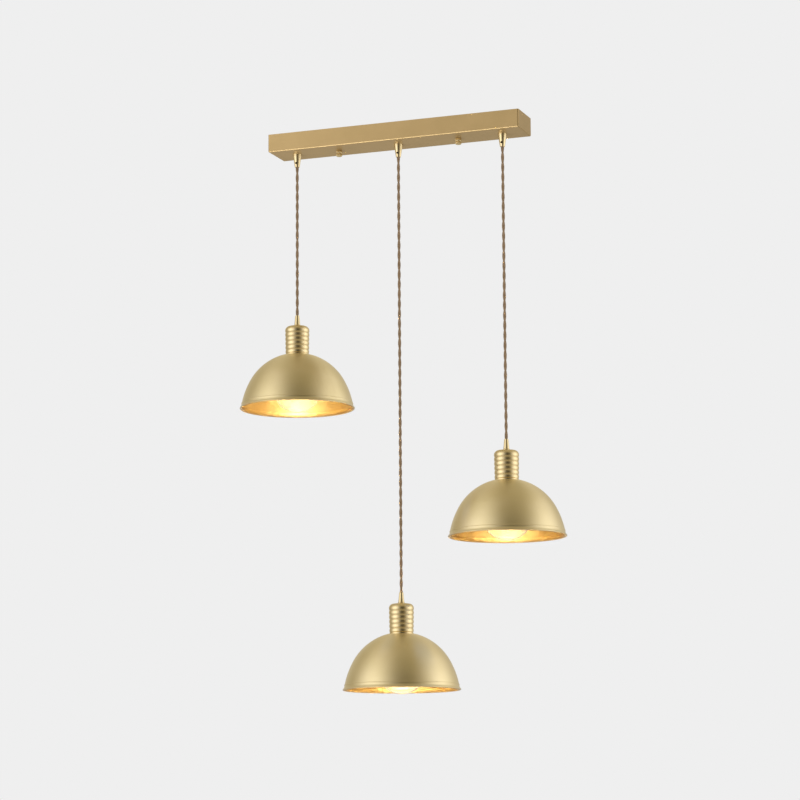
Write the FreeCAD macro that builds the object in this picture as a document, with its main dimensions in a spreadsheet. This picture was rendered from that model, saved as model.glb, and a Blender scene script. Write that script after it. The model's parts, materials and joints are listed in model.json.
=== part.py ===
import FreeCAD, Part
import math
import os
import re
import Sketcher
from FreeCAD import Rotation, Vector

# A linear pendant with three lamps. The origin is the centre of the ceiling bracket, on the ceiling.
# X runs along the canopy, Y across it and Z up, so everything hangs below zero.

SIZES = {
    # canopy: a folded sheet box, open towards the ceiling
    "canopy_length": 510,
    "canopy_width": 78,
    "canopy_depth": 35,
    "canopy_wall": 1.5,
    "canopy_bend": 2.5,
    "hole_clearance": 0.2,
    # ceiling bracket: a strip whose two ends step down, so that a screw head fits above each end
    "bracket_width": 24,
    "bracket_sheet": 2,
    "bracket_step": 5,
    "bracket_slope": 8,
    "bracket_tab_half": 15,
    "slot_spacing": 80,
    "slot_length": 20,
    "slot_width": 5,
    "cable_hole_radius": 6,
    # studs that carry the canopy, and their nuts
    "nut_spacing": 122,
    "stud_radius": 2,
    "stud_head_radius": 4,
    "stud_head_height": 2.4,
    "stud_nut_flats": 7,
    "stud_nut_height": 3.2,
    "cap_nut_radius": 5.8,
    "cap_nut_height": 12,
    "cap_nut_groove": 0.9,
    "cap_nut_bore_depth": 9,
    "cap_nut_corner": 1.6,
    "stud_engagement": 8,
    "thread_play": 0.06,
    # cord grips at the canopy
    "grip_inset": 45,
    "canopy_grip_length": 25,
    "canopy_grip_base": 8.5,
    "canopy_grip_edge": 0.6,
    "grip_mouth": 0.6,
    "swing_clearance": 0.3,
    "shank_radius": 5,
    "shank_extra": 2,
    "lock_nut_flats": 14,
    "lock_nut_height": 3,
    "grub_radius": 2,
    "grub_height": 7.5,
    "grub_socket_flats": 2,
    "grub_socket_depth": 1.2,
    # cords: the seen length of each one, and how it bends and ends
    "cord_radius": 3.1,
    "cord_left": 294,
    "cord_centre": 836,
    "cord_right": 559,
    "cord_bend": 40,
    "cord_entry": 8,
    "cord_clearance": 0.15,
    "pivot_clearance": 0.1,
    # leads and terminal block inside the canopy
    "lead_radius": 1.2,
    "lead_offset": 1.55,
    "lead_turn": 2.5,
    "lead_gap": 0.3,
    "lead_rise": 13.5,
    "lane_left": 11,
    "lane_centre": 6,
    "lane_right": 8,
    "block_start": 55,
    "block_length": 36,
    "block_width": 28,
    "block_height": 17,
    "block_screw_radius": 1.8,
    "block_screw_depth": 6,
    "earth_place": 20,
    # lamp grip on top of each cup
    "lamp_grip_length": 20,
    "lamp_grip_base": 6.4,
    "lamp_grip_flange": 1,
    "lamp_grip_waist": 5.6,
    "lamp_grip_edge": 0.65,
    # ribbed socket cup
    "cup_height": 58,
    "cup_band": 2.2,
    "cup_step": 0.6,
    "cup_shoulder": 9.6,
    "cup_shoulder_width": 6,
    "cup_shoulder_radius": 8.6,
    "cup_crown": 1.4,
    "cup_flat": 8,
    "cup_wall": 1.4,
    "cup_taper": 0.9,
    "cup_rib_depth": 1,
    "cup_top_wall": 1.8,
    "cup_inner_corner": 7,
    "cup_play": 0.8,
    # lampholder
    "holder_radius": 19.4,
    "holder_drop": 9,
    "holder_mouth_radius": 17,
    "holder_mouth_depth": 11,
    "holder_floor": 27.3,
    "holder_floor_thick": 4,
    "holder_cap_wall": 2.9,
    "holder_cap_cone": 8,
    "holder_neck_radius": 8.5,
    "holder_neck_step": 0.2,
    "holder_boss": 8,
    # contacts of the lampholder
    "shell_wall": 0.5,
    "shell_play": 0.25,
    "shell_flange": 0.6,
    "shell_flange_hole": 5.2,
    "shell_bottom": 2.5,
    "seat_gap": 0.3,
    "rivet_play": 0.1,
    "contact_radius": 3.5,
    "contact_thick": 1.1,
    "stem_radius": 1.25,
    "stem_head_radius": 2.4,
    "stem_head_height": 1.2,
    "post_radius": 1.5,
    "post_place": 9,
    "post_height": 3,
    "socket_lead_turn": 5,
    "socket_lead_fall": 9,
    "post_lead_rise": 3,
    # dome shade and the ring that clamps it
    "rim_roll": 1.4,
    "roll_inset": 2,
    "roll_foot": 0.5,
    "lip_height": 8.5,
    "lip_flare": 3.8,
    "bead_height": 2.6,
    "bead_radius": 1.6,
    "flare_radius": 8,
    "skirt_radius": 155,
    "crown_radius": 103,
    "crown_rise": 4.7,
    "crown_angle": 29,
    "shade_flat": 28,
    "shade_sheet": 1,
    "shade_hole_play": 0.4,
    "ring_radius": 26.5,
    "ring_height": 6,
    "ring_play": 0.15,
    "ring_chamfer": 1,
    # globe bulb
    "bulb_radius": 47.5,
    "bulb_neck": 12,
    "bulb_shoulder": 24,
    "glass_wall": 0.8,
    "neck_straight": 0.7,
    "neck_entry": 8,
    "screw_cap_length": 24.8,
    "screw_cap_radius": 13.15,
    "screw_cap_wall": 0.4,
    "screw_cap_cone": 3.3,
    "screw_cap_hole": 9,
    "thread_depth": 0.5,
    "thread_pitch": 3.629,
    "tip_insulator": 1.1,
    "tip_radius": 4.6,
    "tip_height": 1,
    "tip_gap": 0.1,
    "stem_flare": 11,
    "stem_top": 3,
    "stem_slope": 3,
    "stem_neck": 3.5,
    "stem_end": 2.2,
    "stem_length": 50,
    "filament_radius": 0.9,
    "filament_top_ring": 5,
    "filament_low_ring": 13,
    "filament_height": 36,
    "filament_disc": 1.2,
}

RIBS = 6           # convex ribs round each cup
THREADS = 5        # turns of thread that show on a bulb's screw cap
FILAMENTS = 6      # lit sticks in each bulb
ROLL_SHARE = 0.95  # how far the rolled rim goes up, as a share of its full roll
GRIP_PLACE = "canopy_length / 2 - grip_inset"
SIDES = {"left": f"0 - ({GRIP_PLACE})", "centre": "0", "right": GRIP_PLACE}
STUDS = {"left": "0 - nut_spacing", "right": "nut_spacing"}

doc = FreeCAD.newDocument("island_pendant")
sheet = doc.addObject("Spreadsheet::Sheet", "Sizes")
for row, (name, size) in enumerate(SIZES.items(), start=1):
    sheet.set(f"A{row}", name)
    sheet.set(f"B{row}", str(size))
    sheet.setAlias(f"B{row}", name)
doc.recompute()

nodes = []         # the finished sub-parts, one file each


# Heights and fits that several pieces share, as expressions of the driving sizes.

CANOPY_FLOOR = "0 - canopy_depth + canopy_wall"
GRIP_TIP = "0 - canopy_depth - canopy_grip_length"
CANOPY_GRIP_BORE = "cord_radius + swing_clearance"
LAMP_GRIP_BORE = "cord_radius + cord_clearance"
SHANK_LENGTH = "cup_top_wall + holder_boss"
CUP_INSIDE = "holder_radius + cup_play"
CUP_GROOVE = f"{CUP_INSIDE} + cup_wall"
RIB_PITCH = f"(cup_height - cup_band - cup_step - cup_shoulder) / ({RIBS} - 0.5)"
SHELL_INSIDE = "screw_cap_radius + shell_play"
SHELL_OUTSIDE = f"{SHELL_INSIDE} + shell_wall"
HOLDER_TOP = "holder_floor + holder_floor_thick"
LEAD_HEIGHT = f"{CANOPY_FLOOR} + lead_rise"
SHADE_HEIGHT = "crown_rise + sqrt(crown_radius^2 - shade_flat^2)"
SHOULDER_RISE = "sqrt((bulb_radius + bulb_shoulder)^2 - (bulb_neck + bulb_shoulder)^2)"
CAP_BOTTOM = f"bulb_radius + {SHOULDER_RISE} + neck_straight"
CAP_TOP = f"{CAP_BOTTOM} + screw_cap_length"
BULB_LENGTH = f"{CAP_TOP} + tip_gap + tip_insulator + tip_height"
BULB_SEAT = f"holder_floor - contact_thick - tip_gap - ({BULB_LENGTH})"


def seat(side):
    """The plane where a lamp's cup stands on its shade."""
    return f"{GRIP_TIP} - cord_{side} - lamp_grip_length - cup_height"


def cell(text):
    """Point each size's name in a text at its cell of the sheet."""
    return re.sub(r"\b[a-z]+_\w+\b", lambda word: "Sizes." + word.group(), str(text))


def value(text):
    """What an expression comes to, in millimetres."""
    return float(sheet.evalExpression(cell(text)))


def bind(thing, **properties):
    """Tie an object's properties to expressions of the driving sizes."""
    for name, text in properties.items():
        thing.setExpression(name, cell(text))


def place(thing, x="0", y="0", z="0"):
    """Put an object at a point given by three expressions."""
    for axis, text in zip("xyz", (x, y, z)):
        thing.setExpression(f"Placement.Base.{axis}", cell(text))
    return thing


def node(thing, label, x="0", y="0", z="0"):
    """Name a finished sub-part and put it where it goes."""
    thing.Label = label
    nodes.append(place(thing, x, y, z))
    return thing


# Helpers for bodies that are made from sketches.

def new_body(label):
    return doc.addObject("PartDesign::Body", label + "_body")


def new_sketch(body, plane, height="0"):
    """A sketch on one of the body's own origin planes, or at a height above it."""
    sketch = body.newObject("Sketcher::SketchObject", "outline")
    origin_plane = next(item for item in body.Origin.OriginFeatures if item.Role == plane)
    sketch.AttachmentSupport = [(origin_plane, "")]
    sketch.MapMode = "FlatFace"
    sketch.setExpression("AttachmentOffset.Base.z", cell(height))
    return sketch


def dimension(sketch, kind, text, *where):
    """Add one dimension to a sketch and bind it to an expression; zero means on the axis."""
    size = value(text)
    if kind in ("DistanceX", "DistanceY") and abs(size) < 1e-9:
        axis = -2 if kind == "DistanceX" else -1
        sketch.addConstraint(Sketcher.Constraint("PointOnObject", where[0], where[1], axis))
        return
    if kind in ("DistanceX", "DistanceY"):
        where = (-1, 1) + where
    index = sketch.addConstraint(Sketcher.Constraint(kind, *where, size))
    sketch.setExpression(f"Constraints[{index}]", cell(text))


def arc_between(start, end, radius, turn):
    """The arc from start to end; turn is 1 where its centre lies to the left of that way, else -1."""
    middle = (start + end) * 0.5
    along = end - start
    reach = math.sqrt(max(radius ** 2 - (along.Length / 2) ** 2, 0))
    left = Vector(-along.y, along.x, 0).normalize()
    centre = middle + left * reach * turn
    rise = (middle - centre).normalize() if reach > 1e-9 else left * -turn
    return Part.Arc(start, centre + rise * radius, end)


def closed_outline(sketch, outline):
    """Draw a closed outline. Each entry is a corner (x, y), and may add the radius and the turn
    of the arc that leads from it to the next corner."""
    corners = [Vector(value(entry[0]), value(entry[1]), 0) for entry in outline]
    for index, entry in enumerate(outline):
        start, end = corners[index], corners[(index + 1) % len(corners)]
        if len(entry) == 2:
            sketch.addGeometry(Part.LineSegment(start, end))
        else:
            sketch.addGeometry(arc_between(start, end, value(entry[2]), entry[3]))

    def end_at(index, corner):
        """Which end of a drawn piece lies at a corner: 1 is its start and 2 its end."""
        distances = [(sketch.getPoint(index, end) - corner).Length for end in (1, 2)]
        return 1 if distances[0] < distances[1] else 2

    count = len(outline)
    for index, entry in enumerate(outline):
        before = (index - 1) % count
        here = end_at(index, corners[index])
        there = end_at(before, corners[index])
        sketch.addConstraint(Sketcher.Constraint("Coincident", before, there, index, here))
        dimension(sketch, "DistanceX", entry[0], index, here)
        dimension(sketch, "DistanceY", entry[1], index, here)
        if len(entry) > 2:
            dimension(sketch, "Radius", entry[2], index)


def turned(label, outline):
    """A body turned about its own Z axis from corners of radius and height."""
    body = new_body(label)
    sketch = new_sketch(body, "XZ_Plane")
    closed_outline(sketch, outline)
    turn = body.newObject("PartDesign::Revolution", "turn")
    turn.Profile = sketch
    turn.ReferenceAxis = (sketch, ["V_Axis"])
    turn.Angle = 360
    return body


def padded(label, plane, outline, length, both_ways=False):
    """A body raised from a closed outline on one of its origin planes."""
    body = new_body(label)
    sketch = new_sketch(body, plane)
    closed_outline(sketch, outline)
    pad = body.newObject("PartDesign::Pad", "pad")
    pad.Profile = sketch
    pad.SideType = "Symmetric" if both_ways else "One side"
    bind(pad, Length=length)
    return body


def block(label, length, width, height):
    """A body with square corners, centred on Z and standing on its XY plane."""
    half, side = f"({length}) / 2", f"({width}) / 2"
    corners = [(f"0 - {half}", f"0 - {side}"), (half, f"0 - {side}"), (half, side), (f"0 - {half}", side)]
    return padded(label, "XY_Plane", corners, height)


def pocket(body, plane, draw, depth=None, height="0", reverse=False):
    """Cut what draw puts in a sketch out of the body, right through unless a depth is given."""
    doc.recompute()
    before = body.Shape.Volume
    sketch = new_sketch(body, plane, height)
    draw(sketch)
    cut = body.newObject("PartDesign::Pocket", "pocket")
    cut.Profile = sketch
    cut.Reversed = reverse
    if depth is None:
        cut.Type = "ThroughAll"
    else:
        bind(cut, Length=depth)
    doc.recompute()
    assert body.Shape.Volume < before - 1e-3, body.Name + ": a pocket cuts nothing"
    return cut


def circles(*places):
    """Draw circles, each given by its centre and radius."""
    def draw(sketch):
        for x, y, radius in places:
            circle = Part.Circle(Vector(value(x), value(y), 0), Vector(0, 0, 1), value(radius))
            index = sketch.addGeometry(circle)
            dimension(sketch, "DistanceX", x, index, 3)
            dimension(sketch, "DistanceY", y, index, 3)
            dimension(sketch, "Radius", radius, index)
    return draw


def slots(*places):
    """Draw slots along X, each given by its centre's X, its length and its width."""
    def draw(sketch):
        for x, length, width in places:
            radius = value(width) / 2
            reach = value(length) / 2 - radius
            left, right = Vector(value(x) - reach, 0, 0), Vector(value(x) + reach, 0, 0)
            up = Vector(0, radius, 0)
            out = Vector(radius, 0, 0)
            first = sketch.addGeometry(Part.LineSegment(left - up, right - up))
            sketch.addGeometry(Part.Arc(right - up, right + out, right + up))
            sketch.addGeometry(Part.LineSegment(right + up, left + up))
            sketch.addGeometry(Part.Arc(left + up, left - out, left - up))
            ends = [(first, 2, first + 1, 1), (first + 1, 2, first + 2, 1),
                    (first + 2, 2, first + 3, 1), (first + 3, 2, first, 1)]
            for one, one_end, other, other_end in ends:
                sketch.addConstraint(Sketcher.Constraint("Tangent", one, one_end, other, other_end))
            sketch.addConstraint(Sketcher.Constraint("Horizontal", first))
            dimension(sketch, "Radius", f"({width}) / 2", first + 1)
            for sign, arc in (("+", first + 1), ("-", first + 3)):
                centre = f"{x} {sign} (({length}) / 2 - ({width}) / 2)"
                dimension(sketch, "DistanceX", centre, arc, 3)
            dimension(sketch, "DistanceY", "0", first + 1, 3)
    return draw


def dress(body, kind, size, chosen):
    """Round or bevel the edges of a body that a test picks by their middle point."""
    doc.recompute()
    base = body.Tip
    names = [f"Edge{index}" for index, edge in enumerate(base.Shape.Edges, start=1)
             if chosen(edge, edge.CenterOfGravity)]
    assert names, body.Name + ": no edge to dress"
    feature = body.newObject("PartDesign::" + kind, kind.lower())
    feature.Base = (base, names)
    bind(feature, **{"Radius" if kind == "Fillet" else "Size": size})
    return feature


# Helpers for plain round and six-sided pieces.

def rod(radius, height, x="0", y="0", z="0"):
    cylinder = doc.addObject("Part::Cylinder", "rod")
    bind(cylinder, Radius=radius, Height=height)
    return place(cylinder, x, y, z)


def hexagon(flats, height, x="0", y="0", z="0"):
    prism = doc.addObject("Part::Prism", "hexagon")
    prism.Polygon = 6
    bind(prism, Circumradius=f"({flats}) / sqrt(3)", Height=height)
    return place(prism, x, y, z)


def cut(base, tool):
    result = doc.addObject("Part::Cut", "cut")
    result.Base = base
    result.Tool = tool
    return result


def fuse(*pieces):
    result = doc.addObject("Part::MultiFuse", "fusion")
    result.Shapes = list(pieces)
    return result


def group(pieces):
    """Pieces of one kind in one sub-part, each still a solid of its own."""
    result = doc.addObject("Part::Compound", "group")
    result.Links = list(pieces)
    return result


# Helpers for leads, which run straight and turn in arcs.

def bent_rod(corners, radius, turn):
    """A round solid along straight runs that arcs of one radius join."""
    corners = [Vector(*[value(text) for text in corner]) for corner in corners]
    edges = []
    start = corners[0]
    for before, corner, after in zip(corners, corners[1:], corners[2:]):
        back = (before - corner).normalize()
        ahead = (after - corner).normalize()
        angle = back.getAngle(ahead)
        reach = turn / math.tan(angle / 2)
        enter, leave = corner + back * reach, corner + ahead * reach
        centre = corner + (back + ahead).normalize() * (turn / math.sin(angle / 2))
        middle = centre + (corner - centre).normalize() * turn
        if (enter - start).Length > 1e-6:
            edges.append(Part.LineSegment(start, enter).toShape())
        edges.append(Part.Arc(enter, middle, leave).toShape())
        start = leave
    edges.append(Part.LineSegment(start, corners[-1]).toShape())
    path = Part.Wire(edges)
    section = Part.Wire([Part.makeCircle(radius, corners[0], corners[1] - corners[0])])
    solid = path.makePipeShell([section], True, False)
    expected = math.pi * radius ** 2 * path.Length
    assert abs(solid.Volume - expected) < expected * 0.01, "a lead's volume is off"
    return solid


def leads(label, runs, radius, turn, x="0", z="0"):
    """Leads of one kind as one sub-part, each its own solid."""
    solids = [bent_rod(corners, value(radius), value(turn)) for corners in runs]
    feature = doc.addObject("Part::Feature", label + "_solids")
    feature.Shape = Part.makeCompound(solids)
    return node(feature, label, x, "0", z)


# Canopy and what holds it to the ceiling.

def make_bracket():
    tab_start = "nut_spacing - bracket_tab_half"
    tab_end = "nut_spacing + bracket_tab_half"
    middle = f"{tab_start} - bracket_slope"
    upper = [("0 - (" + tab_end + ")", "0 - bracket_step"), ("0 - (" + tab_start + ")", "0 - bracket_step"),
             ("0 - (" + middle + ")", "0"), (middle, "0"),
             (tab_start, "0 - bracket_step"), (tab_end, "0 - bracket_step")]
    lower = [(x, z + " - bracket_sheet") for x, z in reversed(upper)]
    body = padded("ceiling_bracket", "XZ_Plane", upper + lower, "bracket_width", both_ways=True)
    pocket(body, "XY_Plane", slots(("slot_spacing / 2", "slot_length", "slot_width"),
                                   ("0 - slot_spacing / 2", "slot_length", "slot_width")))
    stud_hole = "stud_radius + hole_clearance"
    pocket(body, "XY_Plane", circles(("0", "0", "cable_hole_radius"),
                                     *[(x, "0", stud_hole) for x in STUDS.values()]))
    node(body, "ceiling_bracket")


def make_studs():
    shank_top = "0 - bracket_step"
    shank_end = "0 - canopy_depth - stud_engagement"
    studs, nuts = [], []
    for x in STUDS.values():
        shank = rod("stud_radius", f"{shank_top} - ({shank_end})", x, "0", shank_end)
        head = rod("stud_head_radius", "stud_head_height", x, "0", shank_top)
        studs.append(fuse(shank, head))
        height = f"{shank_top} - bracket_sheet - stud_nut_height"
        nut = hexagon("stud_nut_flats", "stud_nut_height", x, "0", height)
        nuts.append(cut(nut, rod("stud_radius", "stud_nut_height", x, "0", height)))
    node(group(studs), "bracket_studs")
    node(group(nuts), "stud_nuts")


def make_canopy():
    body = block("canopy_shell", "canopy_length", "canopy_width", "canopy_depth")
    half_length, half_width = value("canopy_length") / 2, value("canopy_width") / 2
    full = value("canopy_depth")
    dress(body, "Fillet", "canopy_bend",
          lambda edge, middle: middle.z < 1e-3 or abs(middle.z - full / 2) < 1e-3)
    inner = [("0 - (canopy_length / 2 - canopy_wall)", "0 - (canopy_width / 2 - canopy_wall)"),
             ("canopy_length / 2 - canopy_wall", "0 - (canopy_width / 2 - canopy_wall)"),
             ("canopy_length / 2 - canopy_wall", "canopy_width / 2 - canopy_wall"),
             ("0 - (canopy_length / 2 - canopy_wall)", "canopy_width / 2 - canopy_wall")]
    pocket(body, "XY_Plane", lambda sketch: closed_outline(sketch, inner),
           "canopy_depth - canopy_wall", "canopy_depth")
    wall = value("canopy_wall")

    def inner_edge(edge, middle):
        """An edge of the hollow that isn't on the open top."""
        inside = abs(middle.x) < half_length - wall + 1e-3 and abs(middle.y) < half_width - wall + 1e-3
        return inside and wall - 1e-3 < middle.z < full - 1e-3

    dress(body, "Fillet", "canopy_bend - canopy_wall", inner_edge)
    grip_hole = "shank_radius + hole_clearance"
    stud_hole = "stud_radius + hole_clearance"
    holes = [(x, "0", grip_hole) for x in SIDES.values()] + [(x, "0", stud_hole) for x in STUDS.values()]
    pocket(body, "XY_Plane", circles(*holes), reverse=True)
    node(body, "canopy_shell", z="0 - canopy_depth")


def make_cap_nut(side, x):
    """A blind round nut with two beads, seen under the canopy."""
    bore = "stud_radius + thread_play"
    waist = "cap_nut_radius - cap_nut_groove"
    half = "cap_nut_height / 2"
    corner, inset = "cap_nut_corner", "cap_nut_radius - cap_nut_corner"
    outline = [("0", "0"), (inset, "0", corner, 1), ("cap_nut_radius", corner),
               ("cap_nut_radius", f"{half} - cap_nut_groove"), (waist, half),
               ("cap_nut_radius", f"{half} + cap_nut_groove"),
               ("cap_nut_radius", f"cap_nut_height - {corner}", corner, 1), (inset, "cap_nut_height"),
               (bore, "cap_nut_height"), (bore, "cap_nut_height - cap_nut_bore_depth"),
               ("0", "cap_nut_height - cap_nut_bore_depth")]
    node(turned(f"cap_nut_{side}", outline), f"cap_nut_{side}", x, "0", "0 - canopy_depth - cap_nut_height")


# Cord grips, their nuts and their grub screws.

def make_canopy_grip(side, x):
    """A cone that hangs point down, with a threaded shank through the canopy's floor."""
    mouth = f"{CANOPY_GRIP_BORE} + grip_mouth"
    shank_end = "canopy_grip_length + canopy_wall + lock_nut_height + shank_extra"
    outline = [(mouth, "0"), (f"{mouth} + canopy_grip_edge", "0"),
               ("canopy_grip_base", "canopy_grip_length"), ("shank_radius", "canopy_grip_length"),
               ("shank_radius", shank_end), (CANOPY_GRIP_BORE, shank_end),
               (CANOPY_GRIP_BORE, "grip_mouth")]
    body = turned(f"canopy_grip_{side}", outline)
    pocket(body, "XZ_Plane", circles(("0", "grub_height", "grub_radius")), reverse=True)
    node(body, f"canopy_grip_{side}", x, "0", GRIP_TIP)


def make_grip_fasteners():
    nuts, screws = [], []
    tip = f"{CANOPY_GRIP_BORE} + grip_mouth + canopy_grip_edge"
    surface = f"{tip} + (canopy_grip_base - ({tip})) * grub_height / canopy_grip_length"
    for x in SIDES.values():
        nut = hexagon("lock_nut_flats", "lock_nut_height", x, "0", CANOPY_FLOOR)
        nuts.append(cut(nut, rod("shank_radius", "lock_nut_height", x, "0", CANOPY_FLOOR)))
        grub = rod("grub_radius", f"{surface} - lead_offset", x, "0 - lead_offset", f"{GRIP_TIP} + grub_height")
        socket = hexagon("grub_socket_flats", "grub_socket_depth", x,
                         f"0 - ({surface}) + grub_socket_depth", f"{GRIP_TIP} + grub_height")
        for piece in (grub, socket):
            piece.Placement.Rotation = Rotation(Vector(1, 0, 0), 90)
        screws.append(cut(grub, socket))
    node(group(nuts), "grip_nuts")
    node(group(screws), "grip_screws")


# Terminal block and leads inside the canopy.

def make_terminal_block():
    body = block("terminal_block", "block_length", "block_width", "block_height")
    rows = ["0 - block_length / 4", "block_length / 4"]
    lines = ["0 - block_width / 3", "0", "block_width / 3"]
    places = [(x, y, "block_screw_radius") for x in rows for y in lines]
    pocket(body, "XY_Plane", circles(*places), "block_screw_depth", "block_height")
    node(body, "terminal_block", "block_start + block_length / 2", "0", CANOPY_FLOOR)


def make_canopy_leads():
    """Two leads rise from each grip, step aside into their own lane and run to the terminal block."""
    start = f"{GRIP_TIP} + cord_radius + lead_gap"
    block_end = "block_start + block_length"
    for label, sign in (("live_leads", "0 -"), ("neutral_leads", "0 +")):
        runs = []
        for side, x in SIDES.items():
            rise = f"{x} + ({sign} lead_offset)"
            lane = f"{sign} lane_{side}"
            target = block_end if side == "right" else "block_start"
            runs.append([(rise, "0", start), (rise, "0", LEAD_HEIGHT),
                         (rise, lane, LEAD_HEIGHT), (target, lane, LEAD_HEIGHT)])
        leads(label, runs, "lead_radius", "lead_turn")
    earth = [("block_start", "0", LEAD_HEIGHT), ("earth_place", "0", LEAD_HEIGHT),
             ("earth_place", "0", "0 - bracket_sheet")]
    leads("earth_lead", [earth], "lead_radius", "lead_turn")


# Cords.

def make_cord(side, x):
    """Two stretches: a short one that bends at the grip, and the long one down to the lamp. The top
    of each is half a ball, so that it can swing in what holds it."""
    cup = "cord_radius + pivot_clearance"
    top = [("0", cup, cup, -1), ("cord_radius", f"sqrt(({cup})^2 - cord_radius^2)"),
           ("cord_radius", "cord_bend", "cord_radius", 1), ("0", "cord_bend + cord_radius")]
    node(turned(f"cord_top_{side}", top), f"cord_top_{side}", x, "0", f"{GRIP_TIP} - cord_bend")
    length = f"cord_{side} - cord_bend + cord_entry"
    long = [("0", "0"), ("cord_radius", "0"), ("cord_radius", length, "cord_radius", 1),
            ("0", f"{length} + cord_radius")]
    node(turned(f"cord_{side}", long), f"cord_{side}", x, "0", f"{GRIP_TIP} - cord_{side} - cord_entry")


# One lamp. Every height in it is counted from the plane where the cup stands on the shade.

def make_lamp_grip(side, x):
    waist = f"{SHANK_LENGTH} + lamp_grip_flange"
    top = f"{SHANK_LENGTH} + lamp_grip_length"
    outline = [(LAMP_GRIP_BORE, "0"), ("shank_radius", "0"), ("shank_radius", SHANK_LENGTH),
               ("lamp_grip_base", SHANK_LENGTH), ("lamp_grip_base", waist),
               ("lamp_grip_waist", f"{waist} + lamp_grip_flange"),
               (f"{LAMP_GRIP_BORE} + lamp_grip_edge", top), (LAMP_GRIP_BORE, top)]
    node(turned(f"lamp_grip_{side}", outline), f"lamp_grip_{side}", x, "0",
         f"{seat(side)} + cup_height - ({SHANK_LENGTH})")


def make_cup(side, x):
    """A turned cup with convex ribs, a little wider towards its top. The last rib runs on from its
    crest into a round shoulder, and the top is slightly crowned."""
    crest = f"{CUP_GROOVE} + cup_rib_depth"
    rib_radius = f"((({RIB_PITCH}) / 2)^2 + cup_rib_depth^2) / (2 * cup_rib_depth)"
    outline = [(CUP_INSIDE, "0"), (crest, "0"), (crest, "cup_band")]
    for rib in range(RIBS):
        outline.append((f"{CUP_GROOVE} + cup_taper * {rib} / {RIBS}",
                        f"cup_band + cup_step + {rib} * ({RIB_PITCH})", rib_radius, 1))
    shoulder = f"{CUP_GROOVE} + cup_taper * ({RIBS} - 1) / {RIBS} + cup_rib_depth"
    under = "cup_height - cup_top_wall"
    hole = "shank_radius + hole_clearance"
    outline += [(shoulder, "cup_height - cup_shoulder", "cup_shoulder_radius", 1),
                (f"{shoulder} - cup_shoulder_width", "cup_height - cup_crown"),
                ("cup_flat", "cup_height"), (hole, "cup_height"), (hole, under),
                (f"{CUP_INSIDE} - cup_inner_corner", under, "cup_inner_corner", -1),
                (CUP_INSIDE, f"{under} - cup_inner_corner")]
    node(turned(f"socket_cup_{side}", outline), f"socket_cup_{side}", x, "0", seat(side))


def make_holder(side, x):
    """The moulded lampholder and the cap that closes it, which the lamp grip screws into."""
    cavity = f"{SHELL_OUTSIDE} + seat_gap"
    mouth_top = "holder_mouth_depth"
    floor = "holder_drop + holder_floor"
    top = f"{floor} + holder_floor_thick"
    rivet = "stem_radius + rivet_play"
    outline = [("holder_mouth_radius", "0"), ("holder_radius", "0"), ("holder_radius", top),
               (rivet, top), (rivet, floor), (cavity, floor), (cavity, mouth_top),
               ("holder_mouth_radius", mouth_top)]
    body = turned(f"lampholder_{side}", outline)
    pocket(body, "XY_Plane", circles(("post_place", "0", "post_radius + rivet_play")), reverse=True)
    node(body, f"lampholder_{side}", x, "0", f"{seat(side)} - holder_drop")

    height = f"cup_height - cup_top_wall - ({HOLDER_TOP})"
    inner = "holder_radius - holder_cap_wall"
    bore = "shank_radius + rivet_play"
    boss_foot = f"{height} - holder_boss"
    cone_top = f"{boss_foot} - holder_neck_step"
    skirt = f"{cone_top} - holder_cap_cone"
    cap = [(inner, "0"), ("holder_radius", "0"), ("holder_radius", skirt),
           ("holder_neck_radius", cone_top), ("holder_neck_radius", height), (bore, height),
           (bore, boss_foot), (inner, f"{skirt} - seat_gap")]
    node(turned(f"holder_cap_{side}", cap), f"holder_cap_{side}", x, "0", f"{seat(side)} + {HOLDER_TOP}")


def make_contacts(side, x):
    """The screw shell with its post, and the riveted contact that the bulb's tip presses on."""
    height = "holder_floor - seat_gap - shell_bottom"
    outline = [(SHELL_INSIDE, "0"), (SHELL_OUTSIDE, "0"), (SHELL_OUTSIDE, height),
               ("shell_flange_hole", height), ("shell_flange_hole", f"{height} - shell_flange"),
               (SHELL_INSIDE, f"{height} - shell_flange")]
    shell = turned(f"screw_shell_{side}", outline)
    post = rod("post_radius", "shell_flange + seat_gap + holder_floor_thick + post_height", "post_place", "0",
               f"{height} - shell_flange")
    node(fuse(shell, post), f"screw_shell_{side}", x, "0", f"{seat(side)} + shell_bottom")

    stem_top = "contact_thick + holder_floor_thick"
    contact = [("0", "0"), ("contact_radius", "0"), ("contact_radius", "contact_thick"),
               ("stem_radius", "contact_thick"), ("stem_radius", stem_top), ("stem_head_radius", stem_top),
               ("stem_head_radius", f"{stem_top} + stem_head_height"), ("0", f"{stem_top} + stem_head_height")]
    node(turned(f"centre_contact_{side}", contact), f"centre_contact_{side}", x, "0",
         f"{seat(side)} + holder_floor - contact_thick")


def make_socket_leads(side, x):
    """The cord's two leads, one down to the riveted contact and one across to the shell's post."""
    top = "cup_height + lamp_grip_length - cord_entry - pivot_clearance"
    head = f"{HOLDER_TOP} + stem_head_height"
    post = f"{HOLDER_TOP} + post_height"
    straight = [("0 - lead_offset", "0", top), ("0 - lead_offset", "0", head)]
    bent = [("lead_offset", "0", top), ("lead_offset", "0", f"{post} + socket_lead_fall"),
            ("post_place", "0", f"{post} + post_lead_rise"), ("post_place", "0", post)]
    leads(f"socket_leads_{side}", [straight, bent], "lead_radius", "socket_lead_turn", x, seat(side))


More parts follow.
